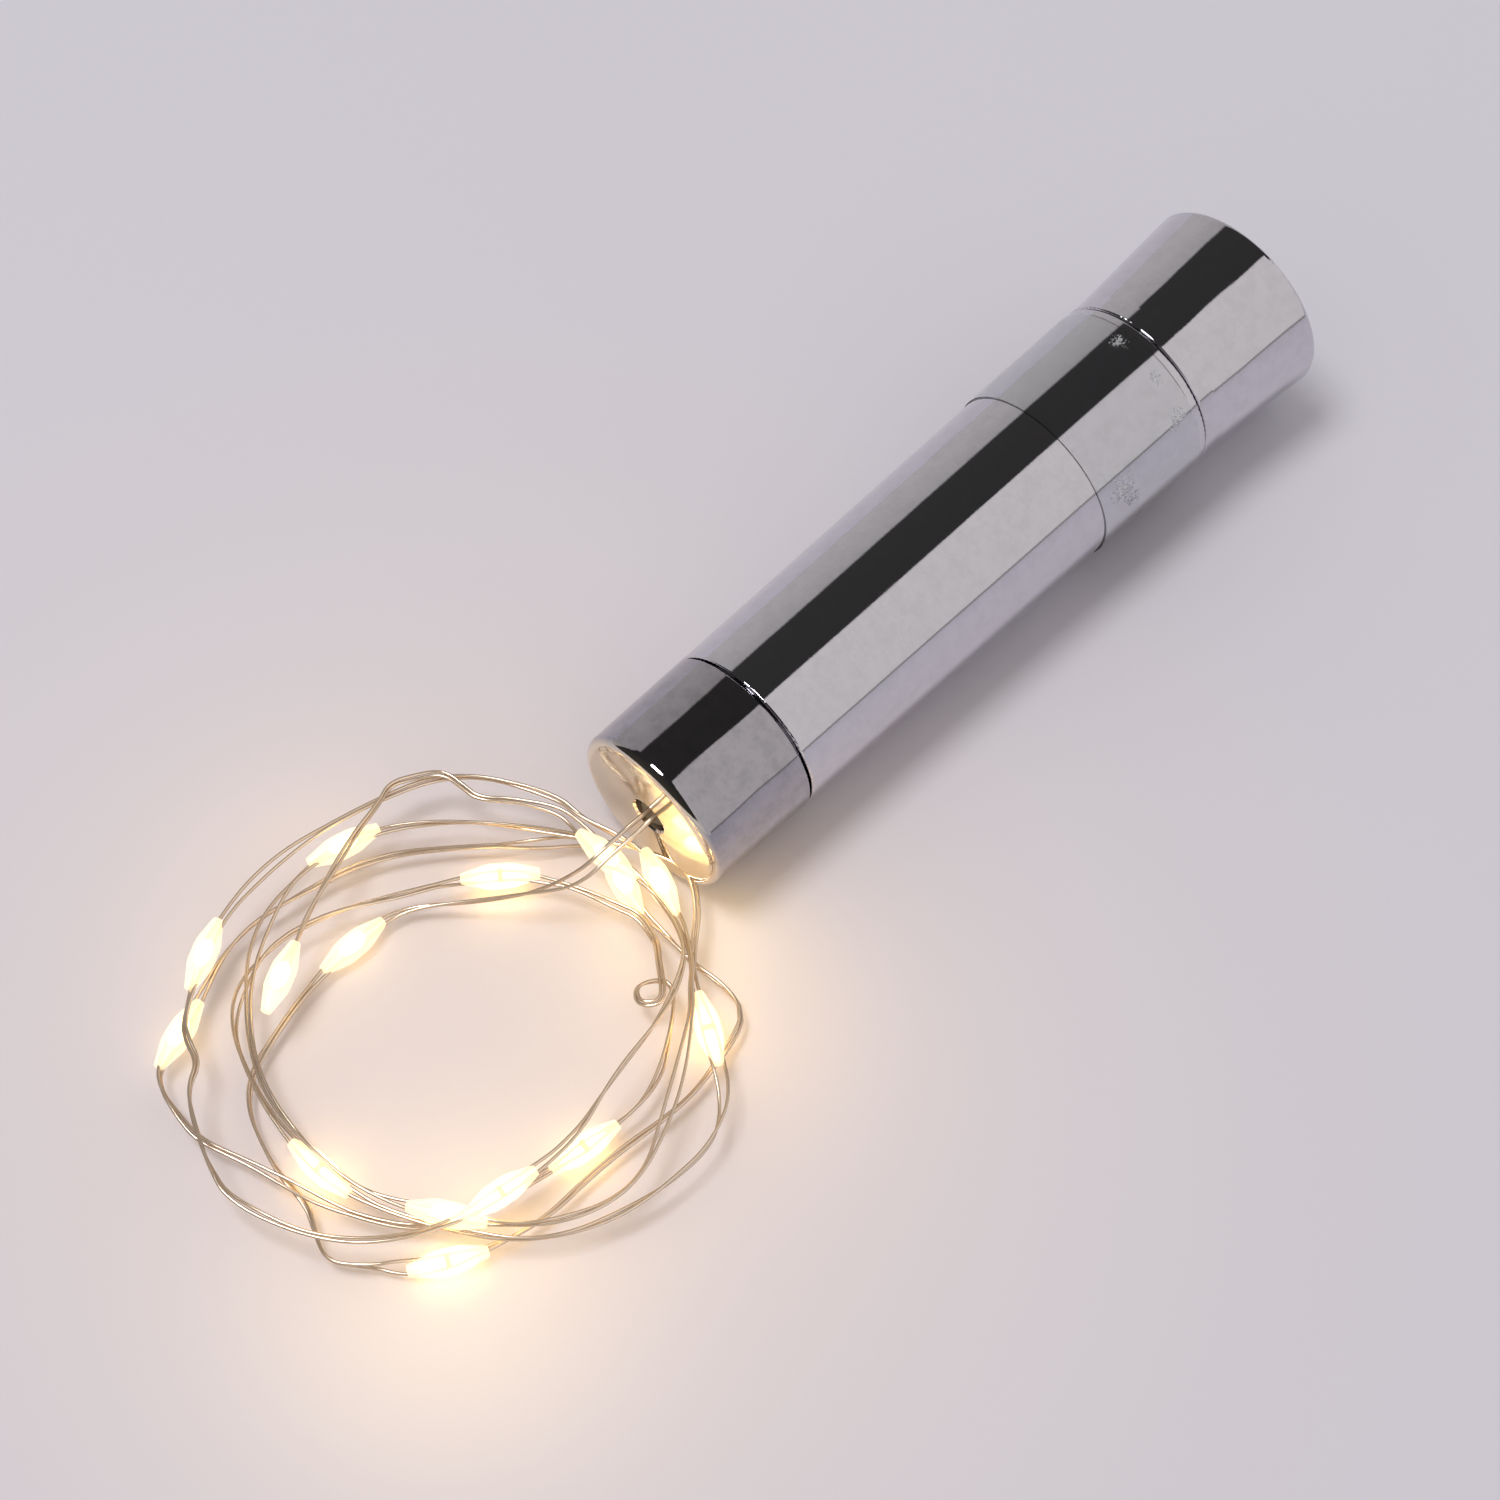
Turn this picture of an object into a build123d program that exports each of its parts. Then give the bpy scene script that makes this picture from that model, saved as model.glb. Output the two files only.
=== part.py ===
from build123d import *
import os
from math import atan2, cos, pi, radians, sin, sqrt

os.makedirs("parts", exist_ok=True)

# Angles, in parts of a turn and in degrees
QUARTERS = 4
HALF_TURN = 0.5
FULL_TURN = 360

# Case, along its axis from the wire end
COLLAR_LENGTH = 12.2
COLLAR_JOINT = 0.25
BARREL_LENGTH = 53.4
CAP_JOINT = 0.12
CAP_LENGTH = 15.0
CAP_STRAIGHT = 2.0

# Case, across its axis
MOUTH_DIAMETER = 17.3
NECK_DIAMETER = 17.6
SHOULDER_DIAMETER = 18.9
CAP_END_DIAMETER = 20.66
BARREL_BORE = 15.4
CAP_BORE = 16.0
COLLAR_BORE = 12.8
WIRE_HOLE = 3.7
END_WALL = 1.6
CAP_END_WALL = 1.5
SPIGOT_LENGTH = 5.6
MOUTH_ROUNDING = 1.1
CAP_ROUNDING = 0.45
EDGE_BREAK = 0.2
GLUE_FIT = 0.05

# Clear rating label
LABEL_WIDTH = 13.3
LABEL_INSET = 0.9
LABEL_FILM = 0.1
LABEL_LIFT = 0.02
LABEL_WRAP = 330

# Button cells, size LR44
CELL_DIAMETER = 11.6
CELL_HEIGHT = 5.4
CELL_COUNT = 3
CELL_BUTTON_DIAMETER = 8.8
CELL_BUTTON_HEIGHT = 0.35
CELL_ROUNDING = 0.4
CELL_CLEARANCE = 0.15

# Battery holder and its contacts
HOLDER_DEPTH = 17.0
HOLDER_FLOOR = 1.5
HOLDER_HOLE = 2.4
CONTACT_SHEET = 0.3
CONTACT_GAP = 0.05
BASE_CONTACT_DIAMETER = 10.4
STRIP_WIDTH = 1.5
STRIP_SLOT_DEPTH = 0.55
SPRING_WIRE = 0.5
SPRING_HEIGHT = 4.4
SPRING_BASE_DIAMETER = 6.8
SPRING_TOP_DIAMETER = 3.4
SPRING_TURNS = 3
BOARD_THICKNESS = 1.2
BOARD_CLEARANCE = 0.3
RESISTOR_LENGTH = 6.0
RESISTOR_DIAMETER = 2.3
RESISTOR_WAIST = 0.25
RESISTOR_TAPER = 0.3
RESISTOR_LEG = 0.5
RESISTOR_LEG_SPAN = 8.0
RESISTOR_STANDOFF = 0.4
RESISTOR_SIDE = 3.0
LEAD_DIAMETER = 0.9
LEAD_SPREAD = 2.2
LEAD_PINCH = 1.5
LEAD_BEND_LENGTH = 9.0
LEAD_BEND_RADIUS = 6.0
GLUE_LENGTH = 4.4
GLUE_CLEARANCE = 0.08

# Screw cap
LINER_FLANGE = 4.2
LINER_SPIGOT = 7.4
LINER_CORE = 13.9
LINER_WALL = 0.65
CUP_WALL = 0.25
THREAD_LEAD = 2.5
THREAD_RIDGE = 0.9
THREAD_TURNS = 1.5
THREAD_START = 0.9

# Light string: a twin wire that leaves the hole, lies in loose turns and ends in a light
WIRE_DIAMETER = 0.5
WIRE_INSIDE = 2.9
COIL_REACH = 24.5
COIL_SIDE = 1.3
TURN_RISE = 0.94
BEAD_LENGTH = 7.6
BEAD_DIAMETER = 2.7
BEAD_TIP = 1.1
BEAD_LIFT = 0.05
CHIP_LENGTH = 1.6
CHIP_WIDTH = 0.8
CHIP_HEIGHT = 0.35
CHIP_GAP = 0.05
TAIL_REST = 1.0
BEND_SHARE = 0.45
FLAT_PLACES = 4
PILE_SLIDE = 0.56
PILE_SLIDE_ANGLE = 225
COIL_STEP = 0.7
NEAR_ALONG = 6.0

# Way of the lead, from the hole down to the first turn: forward, sideways, above the floor
LEAD_ROUTE = ((4.6, 0.1, 8.5), (8.2, 0.4, 6.9), (11.2, 2.5, 4.7), (15.4, 6.8, 2.6))
# Reach of each loose turn from the coil's centre, at eight places from the mouth round by the left
PLACES = 8
TURN_REACH = (
    (None, None, 11.1, 14.2, 20.5, 24.3, 20.1, 26.0),
    (20.6, 16.9, 18.1, 23.2, 21.8, 20.8, 18.0, 20.4),
    (17.7, 13.4, 14.8, 19.3, 18.3, 19.6, 25.8, 23.8),
    (22.6, 19.8, 20.0, 17.5, 17.0, 18.8, 24.1, 21.8),
    (23.6, 25.5, 22.8, 24.0, 25.6, 20.3, 16.6, 19.2),
    (22.6, 24.6, 17.7),
)
TAIL_TURN = 5.345
TAIL_REACH = 16.0
# Where the lights sit on the coil, counted in turns; the last one ends the wire
BEAD_TURNS = (0.265, 0.629, 0.986, 1.389, 1.743, 2.072, 2.531, 2.869, 3.212, 3.615, 3.97, 4.339, 4.684, 5.02)

# Stations along the case axis
barrel_front = COLLAR_LENGTH + COLLAR_JOINT
barrel_rear = barrel_front + BARREL_LENGTH
cap_front = barrel_rear + CAP_JOINT
cap_end = cap_front + CAP_LENGTH
label_rear = barrel_rear - LABEL_INSET
label_front = label_rear - LABEL_WIDTH
liner_tip = barrel_rear - LINER_SPIGOT
ring_face = liner_tip - CONTACT_GAP
holder_rear = ring_face - CONTACT_SHEET
holder_front = holder_rear - HOLDER_DEPTH
floor_face = holder_front + HOLDER_FLOOR
spring_seat = floor_face + CONTACT_SHEET
cell_front = spring_seat + SPRING_HEIGHT + CONTACT_GAP
cell_rear = cell_front + CELL_COUNT * CELL_HEIGHT
board_rear = holder_front - CONTACT_GAP
board_front = board_rear - BOARD_THICKNESS

# Radii
mouth_radius = MOUTH_DIAMETER / 2
neck_radius = NECK_DIAMETER / 2
shoulder_radius = SHOULDER_DIAMETER / 2
cap_radius = CAP_END_DIAMETER / 2
bore_radius = BARREL_BORE / 2
cap_bore_radius = CAP_BORE / 2
hole_radius = WIRE_HOLE / 2
collar_bore_radius = COLLAR_BORE / 2
cell_radius = CELL_DIAMETER / 2
pocket_radius = cell_radius + CELL_CLEARANCE
core_radius = LINER_CORE / 2
cup_radius = core_radius - LINER_WALL
ridge_radius = THREAD_RIDGE / 2
wire_radius = WIRE_DIAMETER / 2
bead_radius = BEAD_DIAMETER / 2

# The case lies on its collar and on the flared rim, so its axis climbs a little
lean = atan2(cap_radius - mouth_radius, cap_end - CAP_ROUNDING - MOUTH_ROUNDING)
mouth_height = mouth_radius * cos(lean) - MOUTH_ROUNDING * sin(lean)
mouth = Vector(-cap_end * cos(lean) / 2, 0, mouth_height)
along = Vector(cos(lean), 0, sin(lean))
up = Vector(-sin(lean), 0, cos(lean))
case_axis = Axis(mouth, along)
section = Plane(origin=mouth, x_dir=along, z_dir=(0, -1, 0))
coil_centre = Vector(mouth.X - COIL_REACH, COIL_SIDE, 0)


def station(distance):
    """Plane across the case, this far along its axis."""
    return Plane(origin=mouth + along * distance, x_dir=(0, 1, 0), z_dir=along)


def barrel_radius(distance):
    """Outer radius of the tapered barrel."""
    share = (distance - barrel_front) / BARREL_LENGTH
    return neck_radius + (shoulder_radius - neck_radius) * share


def add_biarcs(points, ways):
    """Pairs of tangent arcs through the points, each leaving along its own way."""
    for start, finish, way_out, way_in in zip(points, points[1:], ways, ways[1:]):
        chord = finish - start
        both = way_out + way_in
        bend = 2 * (1 - way_out.dot(way_in))
        along_both = chord.dot(both)
        reach = (sqrt(along_both**2 + bend * chord.dot(chord)) - along_both) / bend
        meet = (start + way_out * reach + finish - way_in * reach) * 0.5
        first = TangentArc(start, meet, tangent=way_out)
        TangentArc(meet, finish, tangent=first % 1)


def helix(radius_start, radius_end, first_station, turns, lead):
    """Points and ways of a screw line about the case axis, one for each quarter turn."""
    steps = round(turns * QUARTERS)
    points = []
    ways = []
    for step in range(steps + 1):
        angle = step * pi / 2
        radius = radius_start + (radius_end - radius_start) * step / steps
        shrink = (radius_end - radius_start) / (steps * pi / 2)
        across = Vector(0, cos(angle), 0) + up * sin(angle)
        turning = Vector(0, -sin(angle), 0) + up * cos(angle)
        points.append(mouth + along * (first_station + lead * step / QUARTERS) + across * radius)
        ways.append((turning * radius + across * shrink + along * (lead / (2 * pi))).normalized())
    return points, ways


def save(builder, name):
    """Label the finished piece and write it."""
    builder.part.label = name
    export_step(builder.part, f"parts/{name}.step")


# End collar: end wall with the wire hole, and a spigot that is glued into the barrel
with BuildPart() as end_collar:
    with BuildSketch(section) as collar_profile:
        with BuildLine():
            Polyline(
                (0, hole_radius),
                (0, mouth_radius),
                (COLLAR_LENGTH, neck_radius),
                (COLLAR_LENGTH, bore_radius - GLUE_FIT),
                (COLLAR_LENGTH + SPIGOT_LENGTH, bore_radius - GLUE_FIT),
                (COLLAR_LENGTH + SPIGOT_LENGTH, collar_bore_radius),
                (END_WALL, collar_bore_radius),
                (END_WALL, hole_radius),
                close=True,
            )
        make_face()
        face_corners = collar_profile.vertices().group_by(Axis.X)[0].sort_by(Axis.Y)
        fillet(face_corners[-1], radius=MOUTH_ROUNDING)
        face_corners = collar_profile.vertices().group_by(Axis.X)[0].sort_by(Axis.Y)
        chamfer(face_corners[0], length=EDGE_BREAK)
        fillet(collar_profile.vertices().sort_by(Axis.Y)[-1], radius=EDGE_BREAK)
    revolve(axis=case_axis)
save(end_collar, "end_collar")

# Thread inside the barrel's rear opening
thread_front = liner_tip + THREAD_START
barrel_ridge_points, barrel_ridge_ways = helix(
    bore_radius, bore_radius, thread_front + THREAD_LEAD / 2, THREAD_TURNS, THREAD_LEAD
)
with BuildLine() as barrel_ridge:
    add_biarcs(barrel_ridge_points, barrel_ridge_ways)

# Barrel: tapered tube
with BuildPart() as barrel:
    with BuildSketch(section) as barrel_profile:
        with BuildLine():
            Polyline(
                (barrel_front, bore_radius),
                (barrel_front, neck_radius),
                (barrel_rear, shoulder_radius),
                (barrel_rear, bore_radius),
                close=True,
            )
        make_face()
        outer_corners = barrel_profile.vertices().sort_by(Axis.Y)[-2:]
        fillet(outer_corners, radius=EDGE_BREAK)
    revolve(axis=case_axis)
    with BuildSketch(Plane(origin=barrel_ridge_points[0], z_dir=barrel_ridge_ways[0])):
        Circle(ridge_radius)
    sweep(path=barrel_ridge.wire())
save(barrel, "barrel")

# Rating label: clear film wrapped on the barrel, open underneath
half_opening = radians(FULL_TURN - LABEL_WRAP) / 2
seam = Vector(0, sin(half_opening), 0) - up * cos(half_opening)
with BuildPart() as rating_label:
    with BuildSketch(Plane(origin=mouth, x_dir=along, z_dir=along.cross(seam))):
        with BuildLine():
            Polyline(
                (label_front, barrel_radius(label_front) + LABEL_LIFT),
                (label_front, barrel_radius(label_front) + LABEL_LIFT + LABEL_FILM),
                (label_rear, barrel_radius(label_rear) + LABEL_LIFT + LABEL_FILM),
                (label_rear, barrel_radius(label_rear) + LABEL_LIFT),
                close=True,
            )
        make_face()
    revolve(axis=case_axis, revolution_arc=LABEL_WRAP)
save(rating_label, "rating_label")

# Battery holder: cup with a slot down its outside for the contact strip
holder_radius = bore_radius - GLUE_FIT
slot_floor = holder_radius - STRIP_SLOT_DEPTH
with BuildPart() as battery_holder:
    with BuildSketch(section):
        with BuildLine():
            Polyline(
                (holder_front, HOLDER_HOLE / 2),
                (holder_front, holder_radius),
                (holder_rear, holder_radius),
                (holder_rear, pocket_radius),
                (floor_face, pocket_radius),
                (floor_face, HOLDER_HOLE / 2),
                close=True,
            )
        make_face()
    revolve(axis=case_axis)
    with BuildSketch(station(holder_front)):
        with Locations((0, slot_floor + STRIP_SLOT_DEPTH)):
            Rectangle(STRIP_WIDTH + 2 * CONTACT_GAP, 2 * STRIP_SLOT_DEPTH)
    extrude(amount=HOLDER_DEPTH, mode=Mode.SUBTRACT)
save(battery_holder, "battery_holder")

# Contact ring on the holder's rim, which the cap's metal cup meets when it is screwed down
strip_radius = slot_floor + CONTACT_SHEET
with BuildPart() as contact_ring:
    with BuildSketch(station(holder_rear)):
        Circle(strip_radius)
        Circle(pocket_radius, mode=Mode.SUBTRACT)
    extrude(amount=CONTACT_SHEET)
save(contact_ring, "contact_ring")

# Side strip in the holder's slot, from the ring down to the board
with BuildPart() as side_strip:
    with BuildSketch(station(board_rear)):
        with Locations((0, slot_floor + CONTACT_SHEET / 2)):
            Rectangle(STRIP_WIDTH, CONTACT_SHEET - CONTACT_GAP)
    extrude(amount=holder_rear - board_rear)
save(side_strip, "side_strip")

# Base contact: disc on the cup's floor with a rivet stem down to the board
with BuildPart() as base_contact:
    with BuildSketch(station(floor_face)):
        Circle(BASE_CONTACT_DIAMETER / 2)
    extrude(amount=CONTACT_SHEET)
    with BuildSketch(station(board_rear)):
        Circle(HOLDER_HOLE / 2 - CONTACT_GAP)
    extrude(amount=floor_face - board_rear)
save(base_contact, "base_contact")

# Contact spring: cone of wire between the base contact and the first cell
spring_lead = (SPRING_HEIGHT - SPRING_WIRE) / SPRING_TURNS
spring_points, spring_ways = helix(
    SPRING_BASE_DIAMETER / 2,
    SPRING_TOP_DIAMETER / 2,
    spring_seat + SPRING_WIRE / 2,
    SPRING_TURNS,
    spring_lead,
)
with BuildLine() as spring_line:
    add_biarcs(spring_points, spring_ways)
with BuildPart() as contact_spring:
    with BuildSketch(Plane(origin=spring_points[0], z_dir=spring_ways[0])):
        Circle(SPRING_WIRE / 2)
    sweep(path=spring_line.wire())
save(contact_spring, "contact_spring")

# Driver board behind the cup
with BuildPart() as driver_board:
    with BuildSketch(station(board_front)):
        Circle(bore_radius - BOARD_CLEARANCE)
    extrude(amount=BOARD_THICKNESS)
save(driver_board, "driver_board")

# Series resistor on the board, with its two bent legs
resistor_station = board_front - RESISTOR_STANDOFF - RESISTOR_DIAMETER / 2
resistor_middle = mouth + along * resistor_station + up * RESISTOR_SIDE
resistor_plane = Plane(origin=resistor_middle, x_dir=(0, 1, 0), z_dir=along)
leg_plane = Plane(origin=resistor_middle, x_dir=(0, 1, 0), z_dir=-up)
leg_rise = board_front - resistor_station
with BuildLine(leg_plane) as leg_line:
    FilletPolyline(
        (-RESISTOR_LEG_SPAN / 2, leg_rise),
        (-RESISTOR_LEG_SPAN / 2, 0),
        (RESISTOR_LEG_SPAN / 2, 0),
        (RESISTOR_LEG_SPAN / 2, leg_rise),
        radius=RESISTOR_LEG,
    )
with BuildPart() as resistor:
    with BuildSketch(resistor_plane):
        with BuildLine():
            half = RESISTOR_LENGTH / 2
            bulge = half / 2
            waist = RESISTOR_DIAMETER / 2 - RESISTOR_WAIST
            Polyline(
                (-half, 0),
                (-half, waist),
                (-half + RESISTOR_TAPER, waist + RESISTOR_WAIST),
                (-bulge, waist + RESISTOR_WAIST),
                (-bulge + RESISTOR_TAPER, waist),
                (bulge - RESISTOR_TAPER, waist),
                (bulge, waist + RESISTOR_WAIST),
                (half - RESISTOR_TAPER, waist + RESISTOR_WAIST),
                (half, waist),
                (half, 0),
                close=True,
            )
        make_face()
    revolve(axis=Axis(resistor_middle, (0, 1, 0)))
    with BuildSketch(Plane(origin=leg_line.wire() @ 0, z_dir=leg_line.wire() % 0)):
        Circle(RESISTOR_LEG / 2)
    sweep(path=leg_line.wire())
save(resistor, "resistor")

# Glue plug behind the wire hole
glue_rear = END_WALL + GLUE_LENGTH
with BuildPart() as glue_plug:
    with BuildSketch(station(END_WALL)):
        Circle(collar_bore_radius - GLUE_CLEARANCE)
    extrude(amount=GLUE_LENGTH)
save(glue_plug, "glue_plug")

# Two leads from the board to the glue plug
for lead_name, side in (("lead_plus", 1), ("lead_minus", -1)):
    lead_points = []
    for distance, spread, drop in (
        (board_front, LEAD_SPREAD, LEAD_SPREAD),
        (board_front - LEAD_BEND_LENGTH, LEAD_SPREAD, LEAD_SPREAD),
        (glue_rear + LEAD_BEND_LENGTH, LEAD_PINCH, 0),
        (glue_rear - LEAD_PINCH, LEAD_PINCH, 0),
    ):
        lead_points.append(mouth + along * distance + Vector(0, side * spread, 0) - up * drop)
    with BuildLine() as lead_line:
        FilletPolyline(*lead_points, radius=LEAD_BEND_RADIUS)
    with BuildPart() as inner_lead:
        with BuildSketch(Plane(origin=lead_points[0], z_dir=-along)):
            Circle(LEAD_DIAMETER / 2)
        sweep(path=lead_line.wire())
    save(inner_lead, lead_name)

# Button cells, each with its small pole towards the spring
for index in range(CELL_COUNT):
    pole = cell_front + index * CELL_HEIGHT
    with BuildPart() as cell:
        with BuildSketch(section) as cell_profile:
            with BuildLine():
                Polyline(
                    (pole, 0),
                    (pole, CELL_BUTTON_DIAMETER / 2),
                    (pole + CELL_BUTTON_HEIGHT, CELL_BUTTON_DIAMETER / 2),
                    (pole + CELL_BUTTON_HEIGHT, cell_radius),
                    (pole + CELL_HEIGHT, cell_radius),
                    (pole + CELL_HEIGHT, 0),
                    close=True,
                )
            make_face()
            fillet(cell_profile.vertices().group_by(Axis.Y)[-1], radius=CELL_ROUNDING)
        revolve(axis=case_axis)
    save(cell, f"cell_{index + 1}")

# Flared cap: hollow shell with a closed end
with BuildPart() as flared_cap:
    with BuildSketch(section) as cap_profile:
        with BuildLine():
            Polyline(
                (cap_front, cap_bore_radius),
                (cap_front, shoulder_radius),
                (cap_front + CAP_STRAIGHT, shoulder_radius),
                (cap_end, cap_radius),
                (cap_end, 0),
                (cap_end - CAP_END_WALL, 0),
                (cap_end - CAP_END_WALL, cap_bore_radius),
                close=True,
            )
        make_face()
        rim_corner = cap_profile.vertices().group_by(Axis.X)[-1].sort_by(Axis.Y)[-1]
        fillet(rim_corner, radius=CAP_ROUNDING)
        front_corner = cap_profile.vertices().group_by(Axis.X)[0].sort_by(Axis.Y)[-1]
        fillet(front_corner, radius=EDGE_BREAK)
    revolve(axis=case_axis)
save(flared_cap, "flared_cap")

# Cap liner: flange glued in the cap, and a threaded spigot that screws into the barrel
cup_roof = cell_rear + CONTACT_GAP + CONTACT_SHEET
liner_ridge_points, liner_ridge_ways = helix(
    core_radius, core_radius, thread_front, THREAD_TURNS, THREAD_LEAD
)
with BuildLine() as liner_ridge:
    add_biarcs(liner_ridge_points, liner_ridge_ways)
with BuildPart() as cap_liner:
    with BuildSketch(section):
        with BuildLine():
            Polyline(
                (liner_tip, cup_radius),
                (liner_tip, core_radius),
                (cap_front, core_radius),
                (cap_front, cap_bore_radius - GLUE_FIT),
                (cap_front + LINER_FLANGE, cap_bore_radius - GLUE_FIT),
                (cap_front + LINER_FLANGE, 0),
                (cup_roof, 0),
                (cup_roof, cup_radius),
                close=True,
            )
        make_face()
    revolve(axis=case_axis)
    with BuildSketch(Plane(origin=liner_ridge_points[0], z_dir=liner_ridge_ways[0])):
        Circle(ridge_radius)
    sweep(path=liner_ridge.wire())
save(cap_liner, "cap_liner")

# Cap contact: metal cup in the liner, from the last cell to the contact ring
metal_radius = cup_radius - GLUE_FIT
with BuildPart() as cap_contact:
    with BuildSketch(section):
        with BuildLine():
            Polyline(
                (liner_tip, metal_radius - CUP_WALL),
                (liner_tip, metal_radius),
                (cup_roof, metal_radius),
                (cup_roof, 0),
                (cup_roof - CONTACT_SHEET, 0),
                (cup_roof - CONTACT_SHEET, metal_radius - CUP_WALL),
                close=True,
            )
        make_face()
    revolve(axis=case_axis)
save(cap_contact, "cap_contact")

# Wire lead: straight out of the hole, over the turns in front of it and down inside them to the first one
lead_stops = [mouth + along * WIRE_INSIDE]
for forward, sideways, height in LEAD_ROUTE:
    lead_stops.append(Vector(mouth.X - forward, sideways, height))
lead_radii = []
for before, corner, after in zip(lead_stops, lead_stops[1:], lead_stops[2:]):
    turn = radians((corner - before).get_angle(after - corner))
    run = min((corner - before).length, (after - corner).length)
    lead_radii.append(BEND_SHARE * run * cos(turn / 2) / sin(turn / 2))
print("lead radii", [round(radius, 1) for radius in lead_radii])
with BuildLine() as wire_lead_line:
    FilletPolyline(*lead_stops, radius=lead_radii)
with BuildPart() as wire_lead:
    with BuildSketch(Plane(origin=lead_stops[0], z_dir=-along)):
        Circle(wire_radius)
    sweep(path=wire_lead_line.wire())
save(wire_lead, "wire_lead")



def coil_knot(turns, reach):
    """Point of the coil: each turn lies over the one before, and the pile has slid a little to one side."""
    angle = 2 * pi * turns
    climb = TURN_RISE * max(0, turns - FLAT_PLACES / PLACES)
    slide = radians(PILE_SLIDE_ANGLE)
    sideways = Vector(cos(slide), sin(slide), 0) * (PILE_SLIDE * climb)
    return coil_centre + sideways + Vector(reach * cos(angle), reach * sin(angle), bead_radius + BEAD_LIFT + climb)


# Wire coil: loose turns of uneven reach
knots = [lead_stops[-1]]
for turn, reaches in enumerate(TURN_REACH):
    for place, reach in enumerate(reaches):
        if reach is not None:
            knots.append(coil_knot(turn + place / PLACES, reach))
knots.append(coil_knot(TAIL_TURN, TAIL_REACH))
ways = [(lead_stops[-1] - lead_stops[-2]).normalized()]
for before, after in zip(knots, knots[2:]):
    ways.append((after - before).normalized())
last_chord = (knots[-1] - knots[-2]).normalized()
ways.append(last_chord * (2 * last_chord.dot(ways[-1])) - ways[-1])
with BuildLine() as coil_line:
    add_biarcs(knots, ways)
coil_route = coil_line.wire()
with BuildPart() as wire_coil:
    with BuildSketch(Plane(origin=knots[0], z_dir=ways[0])):
        Circle(wire_radius)
    sweep(path=coil_route)
save(wire_coil, "wire_coil")

for name, tube, route in (("lead", wire_lead, wire_lead_line.wire()), ("coil", wire_coil, coil_route)):
    share = tube.part.volume / (pi * wire_radius**2 * route.length)
    print(f"{name} length {route.length:.1f} mm, volume over section times length {share:.4f}")

# Least gap of the coil to itself, on points along it
steps = round(coil_route.length / COIL_STEP)
trail = [coil_route @ (step / steps) for step in range(steps + 1)]
skip = round(NEAR_ALONG / COIL_STEP)
least = min(
    (trail[i] - trail[j]).length for i in range(len(trail)) for j in range(i + skip, len(trail))
)
print(f"least gap of the coil to itself {least - WIRE_DIAMETER:.2f} mm")

# Shares of the coil's length at which it has made the given turns
turned = []
count = 0
last_angle = 0
for point in trail:
    angle = atan2(point.Y - coil_centre.Y, point.X - coil_centre.X) / (2 * pi)
    if turned and angle < last_angle - HALF_TURN:
        count += 1
    if turned and angle > last_angle + HALF_TURN:
        count -= 1
    turned.append(angle + count)
    last_angle = angle
bead_shares = []
for wanted in BEAD_TURNS:
    step = next(i for i, value in enumerate(turned) if value >= wanted)
    bead_shares.append(step / steps)
bead_shares.append(1 - TAIL_REST / coil_route.length)

# Lights: an epoxy drop round a chip that sits on the wire
for number, share in enumerate(bead_shares, start=1):
    spot = coil_route @ share
    run = coil_route % share
    aside = run.cross(Vector(0, 0, 1)).normalized()
    bead_plane = Plane(origin=spot, x_dir=run, z_dir=aside)
    with BuildPart() as led_chip:
        with BuildSketch(bead_plane.offset(-CHIP_WIDTH / 2)):
            with Locations((0, wire_radius + CHIP_GAP + CHIP_HEIGHT / 2)):
                Rectangle(CHIP_LENGTH, CHIP_HEIGHT)
        extrude(amount=CHIP_WIDTH)
    save(led_chip, f"led_chip_{number:02d}")
    with BuildPart() as led_bead:
        with BuildSketch(bead_plane):
            with BuildLine():
                Polyline(
                    (BEAD_LENGTH / 2, BEAD_TIP / 2),
                    (BEAD_LENGTH / 2, 0),
                    (-BEAD_LENGTH / 2, 0),
                    (-BEAD_LENGTH / 2, BEAD_TIP / 2),
                )
                ThreePointArc(
                    (-BEAD_LENGTH / 2, BEAD_TIP / 2), (0, bead_radius), (BEAD_LENGTH / 2, BEAD_TIP / 2)
                )
            make_face()
        revolve(axis=Axis(spot, run))
    save(led_bead, f"led_bead_{number:02d}")
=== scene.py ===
"""Bottle-stopper light: a chrome case, and a loosely wound string of warm lights on a fine twin wire."""

from math import atan2, cos, pi, radians, sin, tau

import bmesh
import bpy
from bpy.props import FloatProperty, FloatVectorProperty, PointerProperty
from bpy.types import Operator, Panel, PropertyGroup
from mathutils import Matrix, Vector


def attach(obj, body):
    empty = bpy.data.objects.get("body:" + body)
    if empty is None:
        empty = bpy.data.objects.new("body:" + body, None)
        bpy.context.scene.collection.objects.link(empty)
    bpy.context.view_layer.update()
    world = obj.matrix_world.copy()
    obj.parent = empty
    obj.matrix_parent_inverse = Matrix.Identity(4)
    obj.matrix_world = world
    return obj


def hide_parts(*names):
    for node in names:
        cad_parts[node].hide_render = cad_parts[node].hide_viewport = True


bl_info = {
    "name": "Bottle-stopper light",
    "version": (1, 0, 0),
    "blender": (4, 5, 0),
    "location": "3D View > Sidebar > Bottle light",
    "description": "Dresses the bottle-stopper light: chrome case, clear film, wire string and lights",
    "category": "Object",
}

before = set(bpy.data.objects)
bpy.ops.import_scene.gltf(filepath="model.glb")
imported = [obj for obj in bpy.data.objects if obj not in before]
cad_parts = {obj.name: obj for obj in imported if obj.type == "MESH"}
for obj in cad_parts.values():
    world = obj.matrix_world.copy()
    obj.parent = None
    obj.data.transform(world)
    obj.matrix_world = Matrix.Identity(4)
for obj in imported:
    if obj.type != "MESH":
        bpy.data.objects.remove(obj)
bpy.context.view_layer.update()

MM = 0.001

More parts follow.
